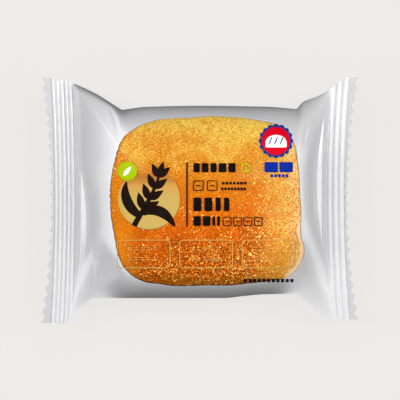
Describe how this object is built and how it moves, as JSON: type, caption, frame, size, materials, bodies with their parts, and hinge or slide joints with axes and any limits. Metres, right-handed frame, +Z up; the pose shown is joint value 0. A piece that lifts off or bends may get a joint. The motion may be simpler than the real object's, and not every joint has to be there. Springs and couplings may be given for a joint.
{
  "type": "packed bread roll",
  "caption": "Soft golden bread roll in a sealed pillow pack of pearly film with a clear middle, ribbed end seals and pinked ends, lying face up.",
  "frame": {"origin": "on the table, under the middle of the pack", "axes": "+X along the pack from one end seal to the other, +Y across it, +Z up through its printed face"},
  "size_m": [0.148, 0.1144, 0.05],
  "materials": {
    "film": "pearly silver-white flow-wrap film, clear over the roll",
    "crust": "golden-brown soft baked crust with pale specks",
    "print": "flat printing ink"
  },
  "bodies": {
    "root": {"bread_roll_pack": "film"}
  },
  "joints": []
}
